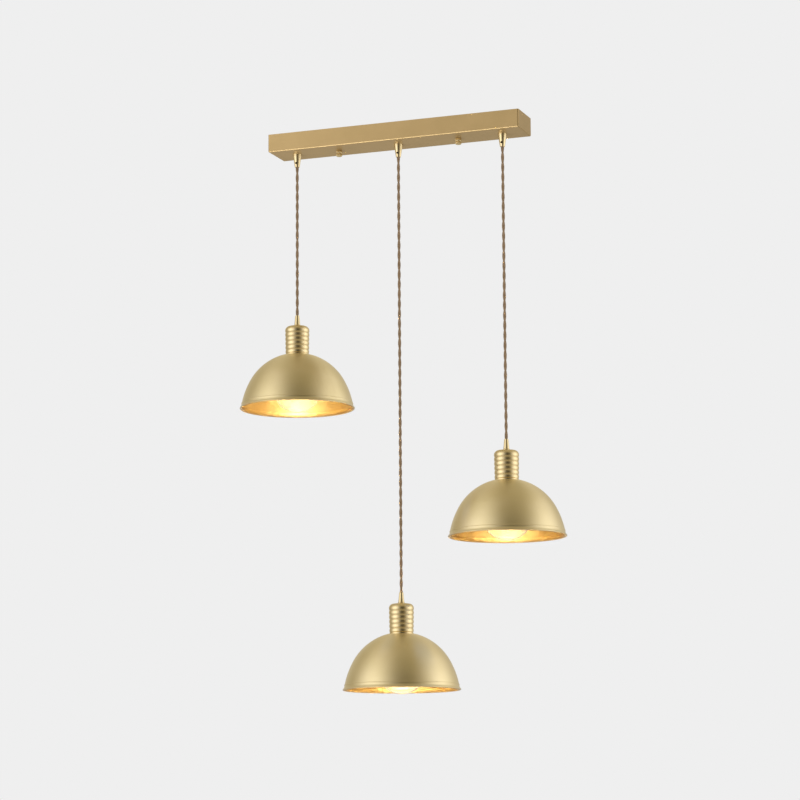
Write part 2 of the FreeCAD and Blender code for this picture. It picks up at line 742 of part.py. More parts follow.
def make_shade(side, x):
    """A spun dome: a flat crown, two tangent arcs, a raised bead and a flared, rolled rim."""
    skirt_x = "(crown_radius - skirt_radius) * cos(crown_angle)"
    skirt_z = "(crown_rise + (crown_radius - skirt_radius) * sin(crown_angle))"

    def skirt(height, inset):
        return f"{skirt_x} + sqrt((skirt_radius - {inset})^2 - ({height} - {skirt_z})^2)"

    def join(inset):
        return (f"(crown_radius - {inset}) * cos(crown_angle)",
                f"crown_rise + (crown_radius - {inset}) * sin(crown_angle)")

    bead_top = "lip_height + bead_height"
    hole = "holder_radius + shade_hole_play"
    under = f"{SHADE_HEIGHT} - shade_sheet"
    inner_flat = f"sqrt((crown_radius - shade_sheet)^2 - ({under} - crown_rise)^2)"
    roll_place = f"{skirt('lip_height', '0')} + lip_flare - rim_roll"
    outline = [
        (roll_place, "0", "rim_roll", 1),
        (roll_place, f"{ROLL_SHARE} * 2 * rim_roll", "flare_radius", -1),
        (skirt("lip_height", "0"), "lip_height", "bead_radius", 1),
        (skirt(bead_top, "0"), bead_top, "skirt_radius", 1),
        (*join("0"), "crown_radius", 1),
        ("shade_flat", SHADE_HEIGHT),
        (hole, SHADE_HEIGHT),
        (hole, under),
        (inner_flat, under, "crown_radius - shade_sheet", -1),
        (*join("shade_sheet"), "skirt_radius - shade_sheet", -1),
        (skirt("lip_height", "shade_sheet"), "lip_height", "flare_radius + shade_sheet", 1),
        (f"{roll_place} - roll_inset", "roll_foot"),
    ]
    node(turned(f"shade_{side}", outline), f"shade_{side}", x, "0", f"{seat(side)} - ({SHADE_HEIGHT})")

    bore = "holder_radius + ring_play"
    ring = [(bore, "0"), ("ring_radius - ring_chamfer", "0"), ("ring_radius", "ring_chamfer"),
            ("ring_radius", "ring_height"), (bore, "ring_height")]
    node(turned(f"shade_ring_{side}", ring), f"shade_ring_{side}", x, "0",
         f"{seat(side)} - shade_sheet - ring_height")


def make_bulb(side, x):
    """A clear globe bulb. Every height in it is counted from the bottom of the globe."""
    base = f"{seat(side)} + {BULB_SEAT}"
    neck_start = f"bulb_radius + {SHOULDER_RISE}"

    def shoulder(inset):
        """Where the globe meets the arc of the shoulder."""
        share = f"(bulb_radius - {inset}) / (bulb_radius + bulb_shoulder)"
        return f"(bulb_neck + bulb_shoulder) * {share}", f"bulb_radius + {SHOULDER_RISE} * {share}"

    neck_top = f"{CAP_BOTTOM} + neck_entry"
    inside_neck = "bulb_neck - glass_wall"
    glass = [("0", "0", "bulb_radius", 1),
             (*shoulder("0"), "bulb_shoulder", -1),
             ("bulb_neck", neck_start),
             ("bulb_neck", neck_top),
             (inside_neck, neck_top),
             (inside_neck, neck_start, "bulb_shoulder + glass_wall", 1),
             (*shoulder("glass_wall"), "bulb_radius - glass_wall", -1),
             ("0", "glass_wall")]
    node(turned(f"bulb_glass_{side}", glass), f"bulb_glass_{side}", x, "0", base)

    root = "screw_cap_radius - thread_depth"
    inner = f"{root} - screw_cap_wall"
    crest_radius = "((thread_pitch / 2)^2 + thread_depth^2) / (2 * thread_depth)"
    cylinder_top = "screw_cap_length - screw_cap_cone"
    thread_top = f"{cylinder_top} - {THREADS} * thread_pitch"
    cap = [(inner, "0"), (root, "0")]
    for turn in range(THREADS):
        cap.append((root, f"{thread_top} + {turn} * thread_pitch", crest_radius, 1))
    cap += [(root, cylinder_top), ("screw_cap_hole", "screw_cap_length"),
            ("screw_cap_hole - screw_cap_wall", "screw_cap_length"),
            (inner, f"{cylinder_top} - screw_cap_wall")]
    node(turned(f"bulb_cap_{side}", cap), f"bulb_cap_{side}", x, "0", f"{base} + {CAP_BOTTOM}")

    tip = [("0", "0"), ("screw_cap_hole", "0"), ("tip_radius", "tip_insulator"),
           ("tip_radius", "tip_insulator + tip_height / 2"),
           ("tip_radius / 2", "tip_insulator + tip_height"), ("0", "tip_insulator + tip_height")]
    node(turned(f"bulb_tip_{side}", tip), f"bulb_tip_{side}", x, "0", f"{base} + {CAP_TOP} + tip_gap")
    make_filament(side, x, f"{base} + {neck_top}")


def make_filament(side, x, top):
    """A glass stem that hangs from its flare in the neck, with lit sticks leaning out below it."""
    outline = [("0", "0"), ("stem_end", "0"), ("stem_neck", "stem_length - stem_top - stem_slope"),
               ("stem_flare", "stem_length - stem_top"), ("stem_flare", "stem_length"), ("0", "stem_length")]
    stem = turned(f"bulb_filament_{side}", outline)
    disc_height = "0 - filament_disc"
    pieces = [stem, rod("filament_top_ring + filament_radius", "filament_disc", "0", "0", "0"),
              rod("filament_radius", "filament_height + filament_disc", "0", "0", "0 - filament_height"),
              rod("filament_low_ring + filament_radius", "filament_disc", "0", "0", "0 - filament_height")]
    lean = math.degrees(math.atan2(value("filament_low_ring - filament_top_ring"), value("filament_height")))
    for index in range(FILAMENTS):
        angle = 360 * index / FILAMENTS
        stick = rod("filament_radius", f"filament_height / cos({lean:.6f})",
                    f"filament_low_ring * cos({angle})", f"filament_low_ring * sin({angle})",
                    "0 - filament_height + filament_disc / 2")
        stick.Placement.Rotation = Rotation(Vector(0, 0, 1), angle) * Rotation(Vector(0, 1, 0), -lean)
        pieces.append(stick)
    node(fuse(*pieces), f"bulb_filament_{side}", x, "0", f"{top} - stem_length")


make_bracket()
make_studs()
make_canopy()
for stud_side, stud_x in STUDS.items():
    make_cap_nut(stud_side, stud_x)
for lamp_side, lamp_x in SIDES.items():
    make_canopy_grip(lamp_side, lamp_x)
make_grip_fasteners()
make_terminal_block()
make_canopy_leads()
for lamp_side, lamp_x in SIDES.items():
    make_cord(lamp_side, lamp_x)
    make_lamp_grip(lamp_side, lamp_x)
    make_cup(lamp_side, lamp_x)
    make_holder(lamp_side, lamp_x)
    make_contacts(lamp_side, lamp_x)
    make_socket_leads(lamp_side, lamp_x)
    make_shade(lamp_side, lamp_x)
    make_bulb(lamp_side, lamp_x)

doc.recompute()
for thing in doc.Objects:
    assert not {"Invalid", "Error"} & set(thing.State), f"{thing.Label}: {thing.State}"
for part in nodes:
    assert not part.Shape.isNull() and part.Shape.isValid(), part.Label + " has a bad shape"

os.makedirs("parts", exist_ok=True)
for part in nodes:
    part.Shape.exportStep(f"parts/{part.Label}.step")
    print(f"{part.Label:24} solids {len(part.Shape.Solids)}  volume {part.Shape.Volume:12.2f}")
print(len(nodes), "sub-parts")
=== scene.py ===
# %% [markdown]
# # A linear pendant with three brass domes
#
# Three spun brass shades hang at three heights under one long ceiling box, each on a twisted textile cord.
# The metal frame comes from a CAD model, so its shapes and sizes are already right. This lesson dresses it:
# it gives every piece a finish, and builds in mesh code what a plain solid can't show, such as the two
# twisted strands of each cord. Everything is in metres, and the ceiling is the plane where Z is zero.

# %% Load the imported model
import json
import math

import bpy
import numpy as np
from mathutils import Matrix, Vector

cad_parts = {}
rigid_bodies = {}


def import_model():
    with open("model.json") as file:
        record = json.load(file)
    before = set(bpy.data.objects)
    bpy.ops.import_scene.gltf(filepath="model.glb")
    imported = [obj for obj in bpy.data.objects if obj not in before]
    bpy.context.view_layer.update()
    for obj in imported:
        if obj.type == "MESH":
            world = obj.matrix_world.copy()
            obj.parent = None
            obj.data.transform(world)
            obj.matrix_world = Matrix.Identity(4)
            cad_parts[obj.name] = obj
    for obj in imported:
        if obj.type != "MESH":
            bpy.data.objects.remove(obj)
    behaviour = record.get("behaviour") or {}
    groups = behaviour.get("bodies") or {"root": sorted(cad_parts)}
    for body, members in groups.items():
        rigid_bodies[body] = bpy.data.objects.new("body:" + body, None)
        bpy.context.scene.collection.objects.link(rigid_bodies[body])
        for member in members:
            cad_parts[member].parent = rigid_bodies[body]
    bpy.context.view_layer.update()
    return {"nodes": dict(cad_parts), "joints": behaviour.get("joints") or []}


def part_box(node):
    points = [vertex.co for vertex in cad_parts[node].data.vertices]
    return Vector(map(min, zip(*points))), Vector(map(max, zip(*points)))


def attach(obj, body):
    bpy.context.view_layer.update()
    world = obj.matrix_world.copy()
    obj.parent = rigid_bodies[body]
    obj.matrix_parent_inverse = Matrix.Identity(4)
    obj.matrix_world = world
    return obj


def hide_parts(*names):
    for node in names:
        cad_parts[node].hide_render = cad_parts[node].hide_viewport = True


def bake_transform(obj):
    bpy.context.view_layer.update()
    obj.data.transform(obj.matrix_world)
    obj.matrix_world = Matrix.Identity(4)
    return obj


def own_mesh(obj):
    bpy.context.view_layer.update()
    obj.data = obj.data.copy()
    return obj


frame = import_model()
nodes = frame["nodes"]
MM = 0.001

# %% [markdown]
# The three lamps are alike, so most cells below run once for each side. Each lamp swings about the mouth of
# its cord grip, so the joints of the model say where it hangs. The cord bends from there to the joint below.

# %% Where the lamps hang
SIDES = ("left", "centre", "right")


def joint(name):
    """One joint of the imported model."""
    return next(entry for entry in frame["joints"] if entry["name"] == name)


lamp_x = {side: joint(f"swing_front_{side}")["pos_m"][0] for side in SIDES}
GRIP_TIP = joint("swing_front_centre")["pos_m"][2]
BEND_END = joint("swing_side_centre")["pos_m"][2]
print("lamps at", {side: round(lamp_x[side], 4) for side in SIDES}, "and grip tips at", round(GRIP_TIP, 4))

# %% [markdown]
# ## The camera
#
# The photograph looks up at the pendant from the front and a little from the right. One camera was fitted
# to the corners of the ceiling box and to the rims of the three shades. It stands five metres away, so the
# lens is long and the three domes look almost the same size.

# %% Set up the camera
CAMERA_REACH = 5.0
CAMERA_DROP = 1.356
BEARING = math.radians(20.43)
TILT = math.radians(9.36)
ROLL = math.radians(-0.38)
FOCAL_PIXELS = 2683
PICTURE_PIXELS = 800
SENSOR_MM = 36

ahead = Vector((-math.sin(BEARING), math.cos(BEARING), 0))
right = Vector((math.cos(BEARING), math.sin(BEARING), 0))
sky = Vector((0, 0, 1))
forward = ahead * math.cos(TILT) + sky * math.sin(TILT)
upward = sky * math.cos(TILT) - ahead * math.sin(TILT)
rolled_right = right * math.cos(ROLL) + upward * math.sin(ROLL)
rolled_up = upward * math.cos(ROLL) - right * math.sin(ROLL)

lens = bpy.data.cameras.new("long_lens")
lens.sensor_width = SENSOR_MM
lens.lens = FOCAL_PIXELS / PICTURE_PIXELS * SENSOR_MM
camera = bpy.data.objects.new("camera", lens)
bpy.context.collection.objects.link(camera)
turn = Matrix((rolled_right, rolled_up, -forward)).transposed().to_4x4()
camera.matrix_world = Matrix.Translation(-ahead * CAMERA_REACH - sky * CAMERA_DROP) @ turn
bpy.context.scene.camera = camera
print("focal length", round(lens.lens, 1), "mm")

# %% [markdown]
# ## Colours and nodes
#
# Colours are written as the sRGB hex values that a colour picker shows. Blender mixes light in linear
# values, so one function turns each hex value to linear. A second function adds one node to a material,
# with its settings, its values and its links, so that a finish reads from top to bottom.

# %% Hex colours and nodes


def linear(hex_colour):
    """An sRGB hex colour as linear red, green, blue and a full alpha."""
    channels = [int(hex_colour[i:i + 2], 16) / 255 for i in (1, 3, 5)]
    return tuple(c / 12.92 if c <= 0.04045 else ((c + 0.055) / 1.055) ** 2.4 for c in channels) + (1.0,)


def add(tree, kind, settings=None, **inputs):
    """Add a node. An input is named by its socket, or by its place as i0, i1 and so on; a value is set
    and a socket is linked."""
    node = tree.nodes.new("ShaderNode" + kind)
    for name, value in (settings or {}).items():
        setattr(node, name, value)
    for name, value in inputs.items():
        socket = node.inputs[int(name[1:]) if name[1:].isdigit() else name.replace("_", " ")]
        if isinstance(value, bpy.types.NodeSocket):
            tree.links.new(value, socket)
        else:
            socket.default_value = value
    return node


# %% [markdown]
# A real surface is never one flat colour. It is a little rougher in one place than in the next, its tone
# drifts, and a tool or a mould leaves marks. So each finish starts from its main values, and then a pattern
# moves its colour, its roughness or its height. Every pattern is scaled from the size of the real marks.

# %% Start a finish and let a pattern move it


def finish_of(name, colour, metallic=0.0, roughness=0.5, **sockets):
    """A material with its main values set straight on the shader, and its tree and shader."""
    material = bpy.data.materials.new(name)
    material.use_nodes = True
    tree = material.node_tree
    shader = tree.nodes["Principled BSDF"]
    shader.inputs["Base Color"].default_value = linear(colour)
    shader.inputs["Metallic"].default_value = metallic
    shader.inputs["Roughness"].default_value = roughness
    for socket, value in sockets.items():
        shader.inputs[socket.replace("_", " ")].default_value = value
    return material, tree, shader


def vary(tree, shader, pattern, dark, light, low=0.3, high=0.7):
    """Let a pattern from 0 to 1 move the base colour between two hex colours."""
    ramp = add(tree, "ValToRGB", i0=pattern)
    ramp.color_ramp.elements[0].position, ramp.color_ramp.elements[0].color = low, linear(dark)
    ramp.color_ramp.elements[1].position, ramp.color_ramp.elements[1].color = high, linear(light)
    tree.links.new(ramp.outputs["Color"], shader.inputs["Base Color"])


def roughen(tree, shader, pattern, smooth, rough):
    """Let a pattern from 0 to 1 move the roughness between two values."""
    spread = add(tree, "MapRange", i0=pattern, i3=smooth, i4=rough)
    tree.links.new(spread.outputs["Result"], shader.inputs["Roughness"])


def raise_bumps(tree, shader, pattern, depth):
    """Let a pattern from 0 to 1 raise bumps of a depth in metres."""
    bump = add(tree, "Bump", Height=pattern, Distance=depth, Strength=1.0)
    tree.links.new(bump.outputs["Normal"], shader.inputs["Normal"])


def speckle(tree, size, detail=3.0):
    """A pattern of soft spots of a size in metres, all over the object."""
    place = add(tree, "TexCoord").outputs["Object"]
    return add(tree, "TexNoise", Vector=place, Scale=1 / size, Detail=detail).outputs["Fac"]


def dress(material, *names):
    """Put one material on CAD nodes."""
    for name in names:
        for entry in nodes[name].material_slots:
            entry.material = material


# %% [markdown]
# ## Twisted cords
#
# Each cord is two textile-covered strands twisted round each other, and the lamp's weight pulls them
# straight. The line that they circle comes from a spline with the same points as the CAD route, so it bends
# as a real cord would if the route did. The next cell also has the two small builders that every new piece
# uses: one joins rings of points with faces, and one makes an object of them.

# %% A smooth line, and objects from rings of points


def line_of(name, points):
    """Points along a NURBS spline that has these control points."""
    curve = bpy.data.curves.new(name, "CURVE")
    curve.dimensions = "3D"
    curve.resolution_u = 32
    spline = curve.splines.new("NURBS")
    spline.points.add(len(points) - 1)
    for point, place in zip(spline.points, points):
        point.co = (*place, 1)
    spline.order_u = 3
    spline.use_endpoint_u = True
    holder = bpy.data.objects.new(name, curve)
    mesh = bpy.data.meshes.new_from_object(holder)
    line = np.array([vertex.co for vertex in mesh.vertices])
    bpy.data.objects.remove(holder)
    bpy.data.curves.remove(curve)
    bpy.data.meshes.remove(mesh)
    return line


def mesh_object(name, vertices, faces, smooth=True):
    """A new object from points and faces."""
    mesh = bpy.data.meshes.new(name)
    mesh.from_pydata([tuple(point) for point in vertices], [], faces)
    mesh.validate()
    if smooth:
        mesh.shade_smooth()
    piece = bpy.data.objects.new(name, mesh)
    bpy.context.collection.objects.link(piece)
    return piece


def grid_faces(rings, sides, first=0):
    """Four-sided faces that join rings of points, and a cap on each end."""
    faces = []
    for ring in range(rings - 1):
        for side in range(sides):
            after = (side + 1) % sides
            low, high = first + ring * sides, first + (ring + 1) * sides
            faces.append((low + side, low + after, high + after, high + side))
    faces.append(tuple(range(first + sides - 1, first - 1, -1)))
    last = first + (rings - 1) * sides
    faces.append(tuple(range(last, last + sides)))
    return faces


# %% [markdown]
# A plain tube would miss the bulges that catch the light every half turn, so each strand is its own tube
# that circles the cord's line. The soft covers press into each other where they meet, so the strands stand
# a little closer than their radius. The braid is in the mesh too, as small diagonal rises that run both ways
# round the strand. A bump map alone would leave the outline smooth.

# %% Twist two braided strands along a line
STRAND_RADIUS = 1.95 * MM
STRAND_OFFSET = 1.1 * MM
TWIST_PITCH = 38 * MM
BRAID_RISE = 0.11 * MM
BRAID_PITCH = 4.8 * MM
CARRIERS = 4
STRAND_SIDES = 16
RING_STEP = 0.6 * MM


def twisted_pair(name, line):
    """Two strands round an upright line. The twist is counted from the canopy, so that stretches of one
    cord meet in step."""
    top, bottom = line[0], line[-1]
    length = abs(top[2] - bottom[2])
    rings = int(length / RING_STEP) + 1
    heights = np.linspace(top[2], bottom[2], rings)
    around = np.linspace(0, 2 * math.pi, STRAND_SIDES, endpoint=False)
    vertices, faces = [], []
    for strand in range(2):
        first = len(vertices)
        for height in heights:
            fallen = GRIP_TIP - height
            turn_angle = 2 * math.pi * fallen / TWIST_PITCH + math.pi * strand
            axis_x = np.interp(-height, -line[:, 2], line[:, 0])
            axis_y = np.interp(-height, -line[:, 2], line[:, 1])
            centre_x = axis_x + STRAND_OFFSET * math.cos(turn_angle)
            centre_y = axis_y + STRAND_OFFSET * math.sin(turn_angle)
            climb = 2 * math.pi * fallen / BRAID_PITCH
            braid = np.sin(CARRIERS * around + climb) * np.sin(CARRIERS * around - climb)
            radius = STRAND_RADIUS - BRAID_RISE / 2 + BRAID_RISE * braid
            vertices += [(centre_x + r * math.cos(a + turn_angle), centre_y + r * math.sin(a + turn_angle),
                          height) for a, r in zip(around, radius)]
        faces += grid_faces(rings, STRAND_SIDES, first)
    return mesh_object(name, vertices, faces)


# %% [markdown]
# A cord has two pieces, because it moves in two ways: the real cord bends below the grip when the lamp
# swings, and its spare length slips up into the ceiling box when the lamp is raised. Here the short piece
# below the grip stays where it hangs, and the long piece rides on the swinging cord.

# %% Hang the cords
cords = {}


def cord_piece(name, node, x, top, bottom):
    """A twisted pair that stands for a CAD cord, and hides that cord."""
    route = [(x, 0, top), (x, 0, (top + bottom) / 2), (x, 0, bottom)]
    line = line_of(name, route)
    piece = twisted_pair(name, line)
    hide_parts(node)
    return piece


for side in SIDES:
    x = lamp_x[side]
    cord_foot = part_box(f"cord_{side}")[0].z
    short = cord_piece(f"twisted_cord_top_{side}", f"cord_top_{side}", x,
                       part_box(f"cord_top_{side}")[1].z, BEND_END)
    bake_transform(short)
    long = cord_piece(f"twisted_cord_{side}", f"cord_{side}", x, BEND_END, cord_foot)
    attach(long, f"cord_run_{side}")
    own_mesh(long)
    cords[side] = (short, long)
    print(side, "cord", round(GRIP_TIP - cord_foot, 3), "m below its grip")

# %% [markdown]
# The cover is a dull brown thread, so it is rough and a little fuzzy at its edges, which the sheen gives.
# Fine fibres make its tone drift within a millimetre.

# %% Braided cover
textile, tree, shader = finish_of("braided_textile", "#806852", roughness=0.85, Sheen_Weight=0.3)
fibres = speckle(tree, 1.1 * MM)
vary(tree, shader, fibres, "#786250", "#b39a7f")
raise_bumps(tree, shader, fibres, 0.1 * MM)
for pair in cords.values():
    for piece in pair:
        piece.data.materials.append(textile)
print("cord faces", sum(len(piece.data.polygons) for pair in cords.values() for piece in pair))

# %% [markdown]
# ## Brass
#
# The domes are spun on a lathe and brushed as they turn, so fine lines run round them. Such lines draw each
# highlight out across themselves, from the cup down to the lip, and that gives the tall pale wedges on the
# domes. Anisotropy does this: the tangent runs round the Z axis, and a quarter turn lays the streaks along
# the slope. The lines are a noise that is read by radius and height only, so it is the same all the way
# round. Each point is first moved to its own lamp's axis.

# %% Satin brass of the domes
LAMP_SPACING = lamp_x["right"] - lamp_x["centre"]


def lathe_lines(tree, size):
    """A pattern that is the same all the way round a lamp's axis, with marks of a size in metres."""
    parts = add(tree, "SeparateXYZ", Vector=add(tree, "TexCoord").outputs["Object"])
    beside = add(tree, "Math", {"operation": "WRAP"}, i0=parts.outputs["X"], i1=LAMP_SPACING / 2,
                 i2=-LAMP_SPACING / 2)
    across = add(tree, "CombineXYZ", X=beside.outputs[0], Y=parts.outputs["Y"])
    radius = add(tree, "VectorMath", {"operation": "LENGTH"}, i0=across.outputs[0])
    place = add(tree, "CombineXYZ", X=radius.outputs["Value"], Y=parts.outputs["Z"])
    return add(tree, "TexNoise", Vector=place.outputs[0], Scale=1 / size, Detail=4.0).outputs["Fac"]


def brush_round(tree, shader):
    """Lay the brush lines of a finish round the Z axis."""
    tangent = add(tree, "Tangent", {"direction_type": "RADIAL", "axis": "Z"})
    tree.links.new(tangent.outputs[0], shader.inputs["Tangent"])


spun_brass, tree, shader = finish_of("spun_brass", "#ecdeb7", metallic=1.0, roughness=0.38,
                                     Anisotropic=0.85, Anisotropic_Rotation=0.25)
brush_round(tree, shader)
lines = lathe_lines(tree, 1.4 * MM)
raise_bumps(tree, shader, lines, 0.02 * MM)
roughen(tree, shader, lines, 0.34, 0.42)
vary(tree, shader, speckle(tree, 45 * MM), "#e9dbb2", "#efe1bc")
dress(spun_brass, *[f"shade_{side}" for side in SIDES])
print(spun_brass.name, "on the domes")

# %% [markdown]
# The ribbed cups, the grips and the cap nuts are turned from bar, and the tool leaves finer rings than
# spinning does. They are polished a little more, so their highlights are narrower and brighter.

# %% Turned brass of the cups and grips
turned_brass, tree, shader = finish_of("turned_brass", "#e6d4aa", metallic=1.0, roughness=0.25,
                                       Anisotropic=0.6, Anisotropic_Rotation=0.25)
brush_round(tree, shader)
tool_marks = lathe_lines(tree, 0.5 * MM)
raise_bumps(tree, shader, tool_marks, 0.008 * MM)
roughen(tree, shader, tool_marks, 0.22, 0.28)
vary(tree, shader, speckle(tree, 12 * MM), "#e2cfa6", "#e9d8af")
dress(turned_brass, *[f"{name}_{side}" for name in ("socket_cup", "lamp_grip", "canopy_grip")
                      for side in SIDES])
print(turned_brass.name, "on the cups and grips")

# %% [markdown]
# The ceiling box is folded from sheet and finished in a duller brass tone with short strokes along its
# length. Squeezing the pattern's place along X draws its spots out into strokes.

# %% Brushed finish of the ceiling box
box_finish, tree, shader = finish_of("brushed_box", "#af976c", metallic=0.75, roughness=0.42)
place = add(tree, "VectorMath", {"operation": "MULTIPLY"}, i0=add(tree, "TexCoord").outputs["Object"],
            i1=(0.03, 1.0, 1.0))
strokes = add(tree, "TexNoise", Vector=place.outputs[0], Scale=1 / (0.9 * MM), Detail=3.0).outputs["Fac"]
roughen(tree, shader, strokes, 0.37, 0.47)
raise_bumps(tree, shader, strokes, 0.01 * MM)
vary(tree, shader, speckle(tree, 60 * MM), "#ac9469", "#b39a6f")
dress(box_finish, "canopy_shell")
print(box_finish.name, "on the ceiling box")

# %% [markdown]
# ## Steel, contacts and plastics
#
# Above the box sit the parts that hold it up. The bracket and its studs are zinc plated, which leaves a
# cloudy grey, and the grub screws in the grips are blackened. The lampholder's contacts are pressed brass
# that has dulled in spots, and the bulbs' caps are nickel plated.

# %% Steel and contacts
zinc, tree, shader = finish_of("zinc_plate", "#b9bcc0", metallic=1.0, roughness=0.35)
clouds = speckle(tree, 4 * MM)
roughen(tree, shader, clouds, 0.25, 0.45)
vary(tree, shader, clouds, "#aeb2b8", "#c4c5c6")
dress(zinc, "ceiling_bracket", "bracket_studs", "stud_nuts", "grip_nuts")

black_steel, tree, shader = finish_of("blackened_steel", "#1b1a19", metallic=1.0, roughness=0.4)
roughen(tree, shader, speckle(tree, 0.5 * MM), 0.3, 0.5)
dress(black_steel, "grip_screws")

contact, tree, shader = finish_of("contact_brass", "#c9a24e", metallic=1.0, roughness=0.3)
spots = speckle(tree, 3 * MM)
roughen(tree, shader, spots, 0.24, 0.42)
vary(tree, shader, spots, "#b58b3e", "#d2ad5c")
dress(contact, *[f"{name}_{side}" for name in ("screw_shell", "centre_contact") for side in SIDES])

nickel, tree, shader = finish_of("nickel_cap", "#c8c6c0", metallic=1.0, roughness=0.25)
roughen(tree, shader, lathe_lines(tree, 0.8 * MM), 0.2, 0.32)
dress(nickel, *[f"bulb_cap_{side}" for side in SIDES])
print("metals", [material.name for material in (zinc, black_steel, contact, nickel)])

# %% [markdown]
# The lampholders are moulded in a dark, hard resin with a low gloss, and so are the rings that clamp the
# domes. The terminal block is translucent white nylon. The leads wear smooth sleeves in the usual colours:
# brown for live, blue for neutral and green for earth.

# %% Moulded parts and sleeves
phenolic, tree, shader = finish_of("phenolic", "#15130f", roughness=0.35)
flow = speckle(tree, 2.5 * MM)
roughen(tree, shader, flow, 0.28, 0.42)
vary(tree, shader, flow, "#110f0c", "#1b1813")
dress(phenolic, *[f"{name}_{side}" for name in ("lampholder", "holder_cap", "shade_ring") for side in SIDES])

tip_resin, tree, shader = finish_of("tip_glass", "#101013", roughness=0.2)
roughen(tree, shader, speckle(tree, 1.5 * MM), 0.12, 0.3)
dress(tip_resin, *[f"bulb_tip_{side}" for side in SIDES])

nylon, tree, shader = finish_of("nylon", "#e8e5dc", roughness=0.5, Subsurface_Weight=0.2)
shader.inputs["Subsurface Radius"].default_value = (2 * MM, 2 * MM, 2 * MM)
mould = speckle(tree, 1.2 * MM)
roughen(tree, shader, mould, 0.42, 0.58)
raise_bumps(tree, shader, mould, 0.03 * MM)
dress(nylon, "terminal_block")

sleeves = {"brown_pvc": ("#5a3218", ["live_leads", *[f"socket_leads_{side}" for side in SIDES]]),
           "blue_pvc": ("#1c4f9c", ["neutral_leads"]), "green_pvc": ("#3f8a2c", ["earth_lead"])}
for name, (colour, leads) in sleeves.items():
    sleeve, tree, shader = finish_of(name, colour, roughness=0.45)
    roughen(tree, shader, speckle(tree, 1.0 * MM), 0.38, 0.52)
    dress(sleeve, *leads)
print("moulded", [material.name for material in (phenolic, tip_resin, nylon)], "and sleeves", list(sleeves))

# %% [markdown]
# ## Glass
#
# The bulbs are clear and lit. In the photograph each one is too bright to show its glass, because a little
# light scatters in the glass and in the lens. A faint glow of the glass itself gives that white core.

# %% Glass of the bulbs
# The glass's faint emission is a painted glow: it stands in for the light that scatters in the glass and the
# lens.
glass = finish_of("clear_glass", "#ffffff", roughness=0.0, IOR=1.45, Transmission_Weight=1.0,
                  Emission_Color=linear("#fff6e6"), Emission_Strength=0.035)[0]
dress(glass, *[f"bulb_glass_{side}" for side in SIDES])
print(glass.name, "on the bulbs")

# %% [markdown]
# ## Inside the bulbs
#
# A lit filament bulb is a glass stem that holds thin glowing sticks between two rings. The solid model has
# the stem and the sticks in one piece, so they are built again as glass, wire and light, each with its own
# finish. The next cell has the two builders for that: one turns a profile, and one bends wires along points.

# %% Turned pieces and wires


def turned(name, profile, x, sides, ripple=None):
    """A round piece on a lamp's or a nut's axis, from points of radius and height in metres. A ripple
    changes the radius with the row of the profile and the angle."""
    angles = np.linspace(0, 2 * math.pi, sides, endpoint=False)
    vertices = []
    for row, (radius, height) in enumerate(profile):
        for angle in angles:
            r = radius + (ripple(row, angle) if ripple else 0)
            vertices.append((x + r * math.cos(angle), r * math.sin(angle), height))
    return mesh_object(name, vertices, grid_faces(len(profile), sides))


def wire_along(points, radius, sides):
    """Points and faces of a round wire through points in space."""
    points = [Vector(point) for point in points]
    vertices = []
    normal = None
    for index, point in enumerate(points):
        before, after = points[max(index - 1, 0)], points[min(index + 1, len(points) - 1)]
        along = (after - before).normalized()
        if normal is None:
            normal = along.orthogonal().normalized()
        normal = (normal - along * normal.dot(along)).normalized()
        beside = along.cross(normal)
        for step in range(sides):
            angle = 2 * math.pi * step / sides
            vertices.append(point + (normal * math.cos(angle) + beside * math.sin(angle)) * radius)
    return vertices, grid_faces(len(points), sides)


def wires(name, paths, radius, sides):
    """One object of several wires."""
    vertices, faces = [], []
    for path in paths:
        first = len(vertices)
        more, joined = wire_along(path, radius, sides)
        vertices += more
        faces += [tuple(index + first for index in face) for face in joined]
    return mesh_object(name, vertices, faces)


# %% [markdown]
# The stem is a glass tube that flares at its top, where it is fused to the neck of the bulb. Six coated
# sticks hang below it and lean outwards from the top ring to the lower one. Thin wires hold each stick at
# both ends and carry the current. The sticks are small and far brighter than anything round them, so their
# light is strong.

# %% Stem, wires and glowing sticks
STICKS = 6
TOP_RING = 5 * MM
LOW_RING = 13 * MM
STICK_LENGTH = 36 * MM
STICK_RADIUS = 0.9 * MM
STICK_SHARES = (0.06, 0.08, 0.5, 0.92, 0.94)  # a stick's points, as shares of the way from ring to ring
WIRE_RADIUS = 0.3 * MM
UPPER_HOLD = 0.08
LOWER_HOLD = 0.92
WIRE_TAIL = 0.5 * MM
STEM_LENGTH = 50 * MM
STEM_SIDES = 36
STICK_SIDES = 12
WIRE_SIDES = 8

stem_glass, tree, shader = finish_of("stem_glass", "#f4f4ee", roughness=0.02, IOR=1.5,
                                     Transmission_Weight=0.9)
roughen(tree, shader, speckle(tree, 6 * MM), 0.01, 0.05)
hot, tree, shader = finish_of("glowing_stick", "#ffd9a0", roughness=0.5, Emission_Strength=60.0,
                              Emission_Color=linear("#ffc878"))
raise_bumps(tree, shader, speckle(tree, 0.6 * MM), 0.05 * MM)
wire_nickel, tree, shader = finish_of("wire_nickel", "#b5b2aa", metallic=1.0, roughness=0.3)
roughen(tree, shader, speckle(tree, 0.8 * MM), 0.22, 0.4)

